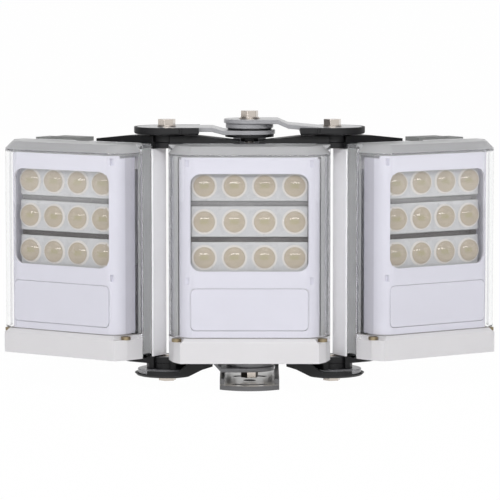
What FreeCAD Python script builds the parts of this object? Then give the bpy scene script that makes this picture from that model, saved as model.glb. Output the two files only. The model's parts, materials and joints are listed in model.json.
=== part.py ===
import FreeCAD, Part
import math
import os
import re
import Sketcher

# White light illuminator: three LED panels on hinged arms, a C-shaped yoke and a tilting foot.
# X runs to the right, the lights face -Y, Z is up. The origin is the foot's mounting hole, on its
# underside. The pan axis is the Z axis, and both panel hinges lie in the plane Y = 0.

vector = FreeCAD.Vector
doc = FreeCAD.newDocument("Illuminator")
os.makedirs("parts", exist_ok=True)

sizes = {
    "panel_width": 135.0,
    "panel_height": 180.0,
    "deck_height": 26.0,
    "hinge_setback": 60.0,
    "hinge_gap": 2.2,
    "swing_angle": 33.0,
    "corner_radius": 18.0,
    "edge_radius": 1.0,
    "box_depth": 27.0,
    "flange_depth": 14.0,
    "shell_wall": 3.0,
    "shell_bevel": 6.5,
    "seal_gap": 2.0,
    "seal_wall": 4.0,
    "seal_play": 0.4,
    "band_height": 20.5,
    "band_wall": 2.5,
    "band_bevel": 3.0,
    "band_radius": 11.0,
    "band_gap": 0.5,
    "slot_width": 11.0,
    "slot_depth": 3.4,
    "slot_reach": 22.0,
    "brass_head": 4.0,
    "brass_shank": 2.0,
    "brass_play": 0.05,
    "brass_inset": 6.7,
    "brass_setback": 12.0,
    "housing_side": 3.5,
    "housing_back": 4.0,
    "housing_inset": 0.5,
    "blank_inner": 9.0,
    "blank_run": 27.5,
    "blank_end": 11.5,
    "blank_height": 2.4,
    "cavity_depth": 8.0,
    "rear_depth": 9.0,
    "end_plate": 8.0,
    "fin_thick": 2.5,
    "fin_depth": 15.0,
    "fin_margin": 10.0,
    "fin_count": 11,
    "fin_low": 40.0,
    "plinth_play": 1.0,
    "window_side": 18.5,
    "window_drop": 22.5,
    "window_height": 81.0,
    "window_radius": 9.0,
    "fascia_side": 9.5,
    "fascia_gap": 1.5,
    "fascia_wall": 2.2,
    "fascia_radius": 13.0,
    "fascia_drop": 9.0,
    "fascia_lip": 6.0,
    "fascia_low": 24.5,
    "plate_low": 27.0,
    "plate_gap": 14.1,
    "plate_radius": 4.0,
    "plate_play": 0.35,
    "clip_width": 2.8,
    "clip_height": 5.8,
    "clip_inset": 3.6,
    "clip_rise": 5.5,
    "clip_drop": 10.7,
    "lens_columns": 4,
    "lens_rows": 3,
    "lens_spare_x": 2.0,
    "lens_spare_z": 8.4,
    "lens_radius": 8.9,
    "lens_rise": 4.4,
    "lens_rim": 10.7,
    "lens_shoulder": 3.2,
    "lens_lift": 0.2,
    "lens_recess": 9.0,
    "strip_gap": 4.8,
    "strip_thick": 2.2,
    "board_thick": 1.6,
    "emitter_size": 5.0,
    "emitter_thick": 1.2,
    "driver_side": 23.5,
    "driver_height": 46.0,
    "driver_low": 12.0,
    "pillar_radius": 3.0,
    "pillar_height": 2.4,
    "gland_radius": 10.0,
    "gland_offset": 30.0,
    "gland_level": 22.0,
    "gland_collar": 6.0,
    "gland_nut": 4.0,
    "gland_dome": 9.0,
    "notch_radius": 22.0,
    "notch_depth": 4.7,
    "knuckle_radius": 14.0,
    "knuckle_gap": 1.0,
    "ring_height": 5.0,
    "ring_play": 0.3,
    "bracket_rise": 6.2,
    "toe_rise": 2.4,
    "bracket_reach": 8.0,
    "bracket_run": 28.2,
    "bracket_inset": 1.0,
    "bracket_rear": 4.0,
    "lower_run": 25.7,
    "lower_root": 17.5,
    "cap_radius": 27.5,
    "hub_gap": 0.2,
    "hub_height": 1.3,
    "cap_height": 6.0,
    "cap_hub_radius": 15.0,
    "cap_edge": 1.8,
    "rib_place": 13.3,
    "rib_pitch": 2.2,
    "low_cap_base": 2.1,
    "low_cap_tail": 38.7,
    "low_cap_end": 7.7,
    "low_cap_brim": 2.2,
    "low_cap_floor": 0.9,
    "low_toe_run": 33.7,
    "low_heel_run": 17.9,
    "arm_thick": 3.5,
    "arm_radius": 21.6,
    "arm_end_radius": 25.0,
    "arm_play": 0.3,
    "arm_gap": 0.1,
    "left_arm_rise": 7.5,
    "left_joggle": 8.0,
    "left_step": 5.2,
    "right_joggle": 3.4,
    "right_step": 6.2,
    "low_joggle": 2.4,
    "spacer_radius": 20.5,
    "spacer_height": 2.5,
    "washer_radius": 18.5,
    "washer_gap": 1.6,
    "yoke_width": 40.0,
    "yoke_waist": 28.0,
    "yoke_thick": 4.0,
    "yoke_bend": 6.0,
    "yoke_back": 50.0,
    "yoke_drop": 8.8,
    "ear_thick": 4.0,
    "ear_radius": 12.0,
    "pivot_y": 60.0,
    "pivot_z": 20.0,
    "foot_width": 50.0,
    "foot_thick": 4.0,
    "foot_arc": 38.0,
    "foot_rear": 64.0,
    "foot_hole": 5.5,
    "foot_wall_low": 9.0,
    "foot_wall_rise": 36.0,
    "slot_circle": 27.0,
    "slot_half": 3.25,
    "slot_angle": 62.0,
    "bolt_radius": 4.0,
    "bolt_play": 0.05,
    "bolt_flats": 13.0,
    "bolt_angle": 15.0,
    "head_height": 5.3,
    "flange_radius": 8.0,
    "flange_height": 0.9,
    "pan_washer": 0.6,
    "nut_height": 4.0,
}

sheet = doc.addObject("Spreadsheet::Sheet", "Sizes")
for row, (alias, value) in enumerate(sizes.items(), start=1):
    sheet.set("A%d" % row, alias)
    sheet.set("B%d" % row, str(value))
    sheet.setAlias("B%d" % row, alias)
doc.recompute()

nodes = []
alias_word = re.compile(r"\b([a-z]+(?:_[a-z]+)+)\b")

# Lengths that follow from the sheet. Levels are above the deck, and offsets are from the pan axis.
rules = {
    "hinge_offset": "panel_width / 2 + hinge_gap",
    "slot_inner": "panel_width / 2 - slot_width",
    "brass_offset": "panel_width / 2 - brass_inset",
    "blank_step": "panel_width / 2 - blank_run",
    "blank_outer": "panel_width / 2 - blank_end",
    "fin_pitch": "(panel_width - fin_margin * 2) / (fin_count - 1)",
    "window_width": "panel_width - window_side * 2",
    "window_high": "panel_height - window_drop",
    "window_low": "window_high - window_height",
    "plinth_width": "window_width - plinth_play * 2",
    "fascia_top": "panel_height - fascia_drop",
    "plate_high": "window_low - plate_gap",
    "clip_upper": "window_high + clip_rise",
    "clip_lower": "window_low - clip_drop",
    "lens_pitch_x": "(window_width + lens_spare_x) / lens_columns",
    "lens_pitch_z": "(window_height + lens_spare_z) / lens_rows",
    "lens_row_first": "(window_low + window_high - lens_pitch_z * (lens_rows - 1)) / 2 + lens_lift",
    "strip_height": "lens_pitch_z - strip_gap",
    "driver_width": "panel_width - driver_side * 2",
    "notch_level": "panel_height - notch_depth",
    "bracket_top": "panel_height + bracket_rise",
    "bracket_toe": "panel_height + toe_rise",
    "bracket_knee": "hinge_offset - bracket_run",
    "bracket_front": "hinge_setback - box_depth - flange_depth - seal_gap - bracket_inset",
    "lower_reach": "hinge_offset - lower_run",
    "cap_hub_bottom": "bracket_top + hub_gap",
    "cap_bottom": "cap_hub_bottom + hub_height",
    "cap_top": "cap_bottom + cap_height",
    "cap_inner": "hinge_offset - cap_radius",
    "low_cap_drop": "ring_height * 2 + ring_play + arm_thick + 0.9 + low_cap_base",
    "low_cap_tip": "hinge_offset - low_cap_tail",
    "low_cap_heel": "hinge_offset - low_cap_end",
    "low_arm_toe": "hinge_offset - low_toe_run",
    "low_arm_heel": "hinge_offset - low_heel_run",
    "left_arm_level": "panel_height + left_arm_rise",
    "yoke_top_level": "left_arm_level + arm_thick + washer_gap",
    "right_arm_level": "yoke_top_level + yoke_thick + arm_gap",
    "low_right_level": "yoke_thick + arm_gap - yoke_drop",
    "low_left_level": "0 - yoke_drop - arm_thick - arm_gap",
    "low_start": "arm_radius + low_joggle",
}
derived = {}
for name, rule in rules.items():
    derived[name] = "(" + alias_word.sub(lambda found: derived.get(found[1], found[1]), rule) + ")"


def bind(text):
    """Write out the derived lengths in an expression, and put the sheet's name before each alias."""
    plain = alias_word.sub(lambda found: derived.get(found[1], found[1]), str(text))
    return alias_word.sub(r"Sizes.\1", plain)


def value(text):
    """The number that an expression gives now."""
    return float(sheet.evalExpression(bind(text)))


def place(item, x, y, z):
    """Tie an object's position to three expressions."""
    item.setExpression("Placement.Base.x", bind(x))
    item.setExpression("Placement.Base.y", bind(y))
    item.setExpression("Placement.Base.z", bind(z))


def box(name, x0, x1, y0, y1, z0, z1):
    """A block between two corners given as expressions."""
    item = doc.addObject("Part::Box", name)
    item.setExpression("Length", bind("(%s) - (%s)" % (x1, x0)))
    item.setExpression("Width", bind("(%s) - (%s)" % (y1, y0)))
    item.setExpression("Height", bind("(%s) - (%s)" % (z1, z0)))
    place(item, x0, y0, z0)
    return item


turns = {
    "Z": FreeCAD.Rotation(),
    "X": FreeCAD.Rotation(vector(0, 1, 0), 90),
    "Y": FreeCAD.Rotation(vector(1, 0, 0), -90),
}


def rod(name, radius, x, y, z, length, axis="Z"):
    """A cylinder that starts at a point and runs along an axis."""
    item = doc.addObject("Part::Cylinder", name)
    item.Placement = FreeCAD.Placement(vector(), turns[axis])
    item.setExpression("Radius", bind(radius))
    item.setExpression("Height", bind(length))
    place(item, x, y, z)
    return item


def hexagon(name, flats, x, y, z, length, turn="0"):
    """A hexagonal prism along Z, measured across its flats and turned about its axis."""
    item = doc.addObject("Part::Prism", name)
    item.Polygon = 6
    item.Placement = FreeCAD.Placement(vector(), FreeCAD.Rotation(vector(0, 0, 1), value(turn)))
    item.setExpression("Circumradius", bind("(%s) / sqrt(3)" % flats))
    item.setExpression("Height", bind(length))
    place(item, x, y, z)
    return item


def fuse(name, *items):
    item = doc.addObject("Part::MultiFuse", name)
    item.Shapes = list(items)
    return item


def cut(name, base, *tools):
    """Take one or more tools out of a base."""
    item = doc.addObject("Part::Cut", name)
    item.Base = base
    item.Tool = tools[0] if len(tools) == 1 else fuse(name + "Tools", *tools)
    return item


def common(name, first, second):
    item = doc.addObject("Part::MultiCommon", name)
    item.Shapes = [first, second]
    return item


def origin_plane(body, role):
    return [item for item in body.Origin.OriginFeatures if item.Role == role][0]


def sketch_on(body, plane, name, offset):
    sketch = body.newObject("Sketcher::SketchObject", name)
    sketch.AttachmentSupport = [(origin_plane(body, plane), "")]
    sketch.MapMode = "FlatFace"
    sketch.setExpression("AttachmentOffset.Base.z", bind(offset))
    return sketch


def tie(sketch, name, constraint, expression):
    """Add a named dimension to a sketch and bind it to the sheet."""
    index = sketch.addConstraint(constraint)
    sketch.renameConstraint(index, name)
    sketch.setExpression("Constraints." + name, bind(expression))


def rounded(body, plane, name, left, right, low, high, low_radius, high_radius, offset="0"):
    """A rectangle with two corner radii: one at its low side and one at its high side."""
    sketch = sketch_on(body, plane, name, offset)
    x0, x1, y0, y1, a, b = [value(item) for item in (left, right, low, high, low_radius, high_radius)]
    pi = math.pi

    def line(ax, ay, bx, by):
        return Part.LineSegment(vector(ax, ay, 0), vector(bx, by, 0))

    def arc(x, y, radius, start, end):
        return Part.ArcOfCircle(Part.Circle(vector(x, y, 0), vector(0, 0, 1), radius), start, end)

    sketch.addGeometry([
        line(x0 + a, y0, x1 - a, y0),
        arc(x1 - a, y0 + a, a, 1.5 * pi, 2 * pi),
        line(x1, y0 + a, x1, y1 - b),
        arc(x1 - b, y1 - b, b, 0, 0.5 * pi),
        line(x1 - b, y1, x0 + b, y1),
        arc(x0 + b, y1 - b, b, 0.5 * pi, pi),
        line(x0, y1 - b, x0, y0 + a),
        arc(x0 + a, y0 + a, a, pi, 1.5 * pi),
    ], False)
    make = Sketcher.Constraint
    rules = [make("Tangent", item, 2, (item + 1) % 8, 1) for item in range(8)]
    rules += [make("Horizontal", 0), make("Horizontal", 4), make("Vertical", 2), make("Vertical", 6)]
    rules += [make("Equal", 1, 7), make("Equal", 3, 5)]
    sketch.addConstraint(rules)
    tie(sketch, "West", make("DistanceX", -1, 1, 6, 1, x0), left)
    tie(sketch, "East", make("DistanceX", -1, 1, 2, 1, x1), right)
    tie(sketch, "South", make("DistanceY", -1, 1, 0, 1, y0), low)
    tie(sketch, "North", make("DistanceY", -1, 1, 4, 1, y1), high)
    tie(sketch, "LowRadius", make("Radius", 1, a), low_radius)
    tie(sketch, "HighRadius", make("Radius", 3, b), high_radius)
    return sketch


def polygon(body, plane, name, corners, offset="0"):
    """A closed outline of straight edges through corners given as expression pairs."""
    sketch = sketch_on(body, plane, name, offset)
    points = [vector(value(x), value(y), 0) for x, y in corners]
    count = len(points)
    edges = [Part.LineSegment(points[item], points[(item + 1) % count]) for item in range(count)]
    sketch.addGeometry(edges, False)
    make = Sketcher.Constraint
    sketch.addConstraint([make("Coincident", item, 2, (item + 1) % count, 1) for item in range(count)])
    for item, (x, y) in enumerate(corners):
        tie(sketch, "Across%d" % item, make("DistanceX", -1, 1, item, 1, points[item].x), x)
        tie(sketch, "Up%d" % item, make("DistanceY", -1, 1, item, 1, points[item].y), y)
    return sketch


def new_body(name):
    return doc.addObject("PartDesign::Body", name)


def pad(body, sketch, name, length, both=False):
    feature = body.newObject("PartDesign::Pad", name)
    feature.Profile = sketch
    feature.setExpression("Length", bind(length))
    feature.Midplane = both
    return feature


def keep(item, name, placement=None):
    """Name a finished sub-part and put it in its place."""
    item.Label = name
    if placement is not None:
        item.Placement = placement
    nodes.append(item)
    return item


front = "(0 - hinge_setback)"
box_rear = "(box_depth - hinge_setback)"
shell_rear = "(box_depth + flange_depth - hinge_setback)"
housing_front = "(box_depth + flange_depth + seal_gap - hinge_setback)"
wall_front = housing_front + " + cavity_depth"
wall_rear = wall_front + " + housing_back"
housing_rear = wall_rear + " + rear_depth"
deck = "deck_height"
top = "deck_height + panel_height"


def bevelled_block(name, side, low_y, high_y, low_z, high_z, radius, bevel):
    """A block with round front corners and a bevel round the top of its front and sides."""
    body = new_body(name + "Block")
    full = "%s + %s + 1" % (high_y, radius)
    plan = rounded(body, "XY_Plane", name + "Plan", "0 - (%s)" % side, side, low_y, full,
                   radius, radius, low_z)
    block = pad(body, plan, name + "Pad", "(%s) - (%s)" % (high_z, low_z))
    doc.recompute()
    level = value(high_z)
    picked = []
    for index, edge in enumerate(block.Shape.Edges, start=1):
        bounds = edge.BoundBox
        if abs(bounds.ZMin - level) < 1e-6 and bounds.ZLength < 1e-6:
            picked.append("Edge%d" % index)
    chamfer = body.newObject("PartDesign::Chamfer", name + "Bevel")
    chamfer.Base = (block, picked)
    chamfer.setExpression("Size", bind(bevel))
    rest = box(name + "Rest", "0 - (%s) - 1" % side, side + " + 1", high_y, full + " + 1",
               low_z + " - 1", high_z + " + 1")
    return cut(name, body, rest)


def make_housing(prefix, spot):
    """Cast aluminium tray: front cavity, finned back, LED plinth, hinge notches and stud recess."""
    name = prefix + "Housing"
    side = "panel_width / 2 - housing_inset"
    body = new_body(name + "Block")
    plan = rounded(body, "XY_Plane", name + "Plan", "0 - (%s)" % side, side, housing_front, housing_rear,
                   "edge_radius", "edge_radius * 2", deck)
    pad(body, plan, name + "Pad", "panel_height")
    inner = "panel_width / 2 - housing_inset - housing_side"
    low_end = deck + " + end_plate"
    high_end = top + " - end_plate"
    cavity = box(name + "Cavity", "0 - (%s)" % inner, inner, housing_front + " - 1", wall_front,
                 low_end, high_end)
    rear = box(name + "Rear", "0 - (%s)" % inner, inner, wall_rear, housing_rear + " + 1",
               deck + " + fin_low", high_end)
    tools = [cavity, rear]
    for sign in ("-", ""):
        hinge_x = "%shinge_offset" % sign
        tools.append(rod(name + "Notch", "notch_radius", hinge_x, "0", deck + " + notch_level",
                         "panel_height - notch_level + 1"))
    tools.append(box(name + "Recess", "0 - bolt_flats", "bolt_flats", housing_front + " - 1",
                     housing_rear + " + 1", deck + " - 1", deck + " + nut_height + 1.5"))
    tools.append(box(name + "UpperRecess", "0 - bolt_flats", "bolt_flats", housing_front + " - 1",
                     housing_rear + " + 1", top + " - 1.2", top + " + 1"))
    shell = cut(name + "Shell", body, *tools)
    parts = [shell]
    count = int(value("fin_count"))
    for index in range(count):
        centre = "(%d - (fin_count - 1) / 2) * fin_pitch" % index
        parts.append(box(name + "Fin%d" % index, centre + " - fin_thick / 2", centre + " + fin_thick / 2",
                         wall_rear + " - 1", wall_rear + " + fin_depth", deck + " + fin_low - 1",
                         top + " - end_plate + 1"))
    board_back = front + " + shell_wall + fascia_gap + lens_recess + strip_thick + emitter_thick + board_thick"
    parts.append(box(name + "Plinth", "0 - plinth_width / 2", "plinth_width / 2", board_back,
                     wall_front + " + 1", deck + " + window_low", deck + " + window_high"))
    for x in ("-", ""):
        for z in ("driver_low + 4", "driver_low + driver_height - 4"):
            parts.append(rod(name + "Pillar", "pillar_radius", "%s(driver_width / 2 - 5)" % x,
                             wall_front + " - pillar_height", deck + " + " + z, "pillar_height + 1", "Y"))
    outer = {"left": -1, "centre": 0, "right": 1}[prefix]
    for low, high, height in (("blank_inner", "blank_step", "blank_height"),
                              ("blank_step - 1", "blank_outer", "blank_height * 0.6")):
        if outer == 0:
            break
        x0, x1 = (low, high) if outer > 0 else ("0 - (%s)" % high, "0 - (%s)" % low)
        for z0, z1 in ((top + " - 1.5", top + " + " + height), (deck + " - " + height, deck + " + 1")):
            parts.append(box(name + "Blank", x0, x1, "0 - bracket_front", "bracket_rear", z0, z1))
    keep(fuse(name, *parts), prefix + "_housing", spot)


def make_cover(prefix, spot):
    """Clear one-piece shell: a bevelled box on a deep flange, open at the back and over the band."""
    name = prefix + "Cover"
    half = "panel_width / 2"
    inner = "panel_width / 2 - shell_wall"
    low = deck + " + band_height + band_gap"
    outer_box = bevelled_block(name + "Outer", half, front, box_rear + " + 2", low, top,
                               "corner_radius", "shell_bevel")
    inner_box = bevelled_block(name + "Inner", inner, front + " + shell_wall", shell_rear + " + 1",
                               low + " - 1", top + " - shell_wall",
                               "corner_radius - shell_wall", "shell_bevel * 0.8")
    flange = new_body(name + "Flange")
    plan = rounded(flange, "XY_Plane", name + "FlangePlan", "0 - (%s)" % half, half, box_rear, shell_rear,
                   "edge_radius", "edge_radius", deck)
    pad(flange, plan, name + "FlangePad", "panel_height")
    hollow = box(name + "Hollow", "0 - (%s)" % inner, inner, box_rear + " + shell_wall", shell_rear + " + 1",
                 deck + " + shell_wall", top + " - shell_wall")
    keep(cut(name, fuse(name + "Skin", outer_box, flange), inner_box, hollow), prefix + "_cover", spot)


def make_seal(prefix, spot):
    """Grey moulded frame that seals the flange to the housing."""
    name = prefix + "Seal"
    half = "panel_width / 2 - shell_wall - seal_play"
    edge = "shell_wall + seal_play"
    start = box_rear + " + shell_wall + seal_play"
    outer = box(name + "Outer", "0 - (%s)" % half, half, start, housing_front,
                deck + " + " + edge, top + " - (%s)" % edge)
    inner = box(name + "Inner", "0 - (%s) + seal_wall" % half, half + " - seal_wall", start + " - 1",
                housing_front + " + 1", deck + " + " + edge + " + seal_wall",
                top + " - (%s) - seal_wall" % edge)
    keep(cut(name, outer, inner), prefix + "_seal_frame", spot)


def make_fascia(prefix, spot):
    """White moulded mask: round corners, lens window, opening for the lower plate and clip slots."""
    name = prefix + "Fascia"
    side = "panel_width / 2 - fascia_side"
    face = front + " + shell_wall + fascia_gap"
    rear = box_rear + " + shell_wall"
    body = new_body(name + "Block")
    plan = rounded(body, "XY_Plane", name + "Plan", "0 - (%s)" % side, side, face, rear,
                   "fascia_radius", "edge_radius", deck + " + fascia_low")
    pad(body, plan, name + "Pad", "fascia_top - fascia_low")
    hollow = new_body(name + "Hollow")
    plan = rounded(hollow, "XY_Plane", name + "HollowPlan", "0 - (%s) + fascia_wall" % side,
                   side + " - fascia_wall", face + " + fascia_wall", rear + " + 5",
                   "fascia_radius - fascia_wall", "edge_radius", deck + " + fascia_low + fascia_wall")
    pad(hollow, plan, name + "HollowPad", "fascia_top - fascia_low - fascia_wall * 2")
    window = new_body(name + "Window")
    plan = rounded(window, "XZ_Plane", name + "WindowPlan", "0 - window_width / 2", "window_width / 2",
                   deck + " + window_low", deck + " + window_high", "window_radius", "window_radius",
                   "0 - (%s) - fascia_wall * 2" % face)
    pad(window, plan, name + "WindowPad", "fascia_wall * 4")
    mouth = new_body(name + "Mouth")
    plan = rounded(mouth, "XZ_Plane", name + "MouthPlan", "0 - window_width / 2", "window_width / 2",
                   deck + " + plate_low", deck + " + plate_high", "plate_radius", "plate_radius",
                   "0 - (%s) - fascia_wall * 2" % face)
    pad(mouth, plan, name + "MouthPad", "fascia_wall * 4")
    lip = box(name + "Lip", "0 - (%s) - 1" % side, side + " + 1", face + " + fascia_lip", rear + " + 1",
              deck + " + fascia_top - fascia_wall", deck + " + fascia_top + 1")
    slots = [lip]
    for sign, shift in (("-", "0"), ("", "clip_width")):
        x0 = "%s(window_width / 2 + clip_inset) - %s" % (sign, shift)
        for level in ("clip_upper", "clip_lower"):
            slots.append(box(name + "Slot", x0, x0 + " + clip_width", face + " - 1",
                             face + " + fascia_wall + 1", deck + " + " + level,
                             deck + " + " + level + " + clip_height"))
    keep(cut(name, body, hollow, window, mouth, *slots), prefix + "_fascia", spot)


def make_plate(prefix, spot):
    """White plate that closes the driver compartment below the lenses."""
    name = prefix + "Plate"
    face = front + " + shell_wall + fascia_gap"
    body = new_body(name)
    plan = rounded(body, "XZ_Plane", name + "Plan", "plate_play - window_width / 2",
                   "window_width / 2 - plate_play", deck + " + plate_low + plate_play",
                   deck + " + plate_high - plate_play", "plate_radius", "plate_radius",
                   "0 - (%s) - fascia_wall" % face)
    pad(body, plan, name + "Pad", "fascia_wall")
    keep(body, prefix + "_lower_plate", spot)


strip_face = front + " + shell_wall + fascia_gap + lens_recess"
strip_rear = strip_face + " + strip_thick"
emitter_rear = strip_rear + " + emitter_thick"
board_rear = emitter_rear + " + board_thick"


def make_lenses(prefix, spot):
    """Three moulded strips, each with four domed lenses on round rims."""
    rise = value("lens_rise")
    radius = value("lens_radius")
    ball = (radius ** 2 + rise ** 2) / (2 * rise)
    face = value(strip_face)
    thick = value("strip_thick")
    half = value("window_width") / 2 - 1
    tall = value("strip_height")
    shoulder = value("lens_shoulder")
    tip = face - shoulder - rise
    strips = []
    for row in range(int(value("lens_rows"))):
        level = value("deck_height + lens_row_first") + row * value("lens_pitch_z")
        strip = Part.makeBox(2 * half, thick, tall, vector(-half, face, level - tall / 2))
        for column in range(int(value("lens_columns"))):
            x = value("(%d - (lens_columns - 1) / 2) * lens_pitch_x" % column)
            rim = Part.makeCylinder(value("lens_rim"), shoulder, vector(x, face - shoulder, level), vector(0, 1, 0))
            dome = Part.makeSphere(ball, vector(x, tip + ball, level))
            slab = Part.makeCylinder(radius, rise + 1, vector(x, tip, level), vector(0, 1, 0))
            strip = strip.fuse([rim, dome.common(slab)])
        strips.append(strip.removeSplitter())
    item = doc.addObject("Part::Feature", prefix + "Lenses")
    item.Shape = Part.makeCompound(strips)
    keep(item, prefix + "_lens_strips", spot)


def make_board(prefix, spot):
    """LED board with one emitter behind each lens."""
    name = prefix + "Board"
    parts = [box(name + "Sheet", "0 - window_width / 2", "window_width / 2", emitter_rear, board_rear,
                 deck + " + window_low + 1", deck + " + window_high - 1")]
    for row in range(int(value("lens_rows"))):
        for column in range(int(value("lens_columns"))):
            x = "(%d - (lens_columns - 1) / 2) * lens_pitch_x" % column
            z = deck + " + lens_row_first + %d * lens_pitch_z" % row
            parts.append(box(name + "Emitter", x + " - emitter_size / 2", x + " + emitter_size / 2",
                             emitter_rear + " - emitter_thick", emitter_rear + " + 0.1",
                             z + " - emitter_size / 2", z + " + emitter_size / 2"))
    keep(fuse(name, *parts), prefix + "_led_board", spot)


def make_driver(prefix, spot):
    """Driver board on the housing's pillars, with its transformer, capacitors and terminal block."""
    name = prefix + "Driver"
    rear = wall_front + " - pillar_height"
    sheet_front = rear + " - board_thick"
    low = deck + " + driver_low"
    parts = [
        box(name + "Sheet", "0 - driver_width / 2", "driver_width / 2", sheet_front, rear, low,
            low + " + driver_height"),
        box(name + "Transformer", "10 - driver_width / 2", "0 - 10", sheet_front + " - 17", sheet_front + " + 0.1",
            low + " + 10", low + " + 34"),
        box(name + "Terminal", "driver_width / 2 - 22", "driver_width / 2 - 6", sheet_front + " - 9", sheet_front + " + 0.1", low + " + 4",
            low + " + 34"),
        rod(name + "CapacitorA", "6", "4", sheet_front + " - 16", low + " + 14", "16.1", "Y"),
        rod(name + "CapacitorB", "6", "4", sheet_front + " - 16", low + " + 32", "16.1", "Y"),
    ]
    keep(fuse(name, *parts), prefix + "_driver", spot)


def make_band(prefix, spot):
    """Moulded cap across the foot of the cover, open at the back, with a slot at each corner."""
    name = prefix + "Band"
    half = "panel_width / 2"
    rear = box_rear + " - band_gap"
    block = bevelled_block(name + "Outer", half, front, rear, deck, deck + " + band_height",
                           "band_radius", "band_bevel")
    hollow = bevelled_block(name + "Inner", half + " - band_wall", front + " + band_wall", rear + " + 2",
                            deck + " + band_wall", deck + " + band_height - band_wall",
                            "band_radius - band_wall", "band_bevel * 0.5")
    floor = deck + " + band_height - slot_depth"
    bosses = []
    tools = []
    for sign, x0, x1 in (("-", "0 - (%s) - 1" % half, "0 - slot_inner"), ("", "slot_inner", half + " + 1")):
        tools.append(box(name + "Slot", x0, x1, front + " - 1", front + " + slot_reach", floor,
                         deck + " + band_height + 1"))
        bosses.append(box(name + "Boss", x0 + (" - band_wall" if sign == "" else ""),
                          x1 + (" + band_wall" if sign else ""), front + " - 1",
                          front + " + slot_reach + band_wall", floor + " - band_wall",
                          deck + " + band_height + 1"))
        tools.append(rod(name + "Bore", "brass_shank + brass_play", sign + "brass_offset",
                         front + " + brass_setback", floor + " - band_wall - 1", "band_wall + 2"))
    keep(cut(name, block, cut(name + "Hollow", hollow, *bosses), *tools), prefix + "_end_band", spot)


def make_band_screws(prefix, spot):
    """Two slotted brass screws that hold the band, with their heads in its corner slots."""
    name = prefix + "Brass"
    floor = deck + " + band_height - slot_depth"
    parts = []
    for sign in ("-", ""):
        x = sign + "brass_offset"
        y = front + " + brass_setback"
        head = rod(name + "Head", "brass_head", x, y, floor, "slot_depth - 0.8")
        shank = rod(name + "Shank", "brass_shank", x, y, floor + " - 11", "11")
        groove = box(name + "Groove", x + " - brass_head", x + " + brass_head", y + " - 0.5",
                     y + " + 0.5", floor + " + slot_depth - 2", floor + " + slot_depth")
        parts.append(cut(name + "Screw", fuse(name + "Solid", head, shank), groove))
    item = doc.addObject("Part::Compound", name)
    item.Links = parts
    keep(item, prefix + "_band_screws", spot)


def make_gland(prefix, spot):
    """Cable gland on the back of the driver compartment: hexagon, thread collar and domed nut."""
    name = prefix + "Gland"
    x = "0 - gland_offset"
    z = deck + " + gland_level"
    base = housing_rear
    body = rod(name + "Collar", "gland_radius", x, base, z, "gland_collar", "Y")
    hexa = doc.addObject("Part::Prism", name + "Hexagon")
    hexa.Polygon = 6
    hexa.Placement = FreeCAD.Placement(vector(), turns["Y"])
    hexa.setExpression("Circumradius", bind("gland_radius * 1.15"))
    hexa.setExpression("Height", bind("gland_nut"))
    place(hexa, x, base + " + 1", z)
    dome = doc.addObject("Part::Cone", name + "Dome")
    dome.Placement = FreeCAD.Placement(vector(), turns["Y"])
    dome.setExpression("Radius1", bind("gland_radius * 0.95"))
    dome.setExpression("Radius2", bind("gland_radius * 0.6"))
    dome.setExpression("Height", bind("gland_dome"))
    place(dome, x, base + " + gland_collar - 0.5", z)
    bore = rod(name + "Bore", "gland_radius * 0.35", x, base + " + gland_nut", z, "gland_dome + 3", "Y")
    keep(cut(name, fuse(name + "Solid", body, hexa, dome), bore), prefix + "_cable_gland", spot)


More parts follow.
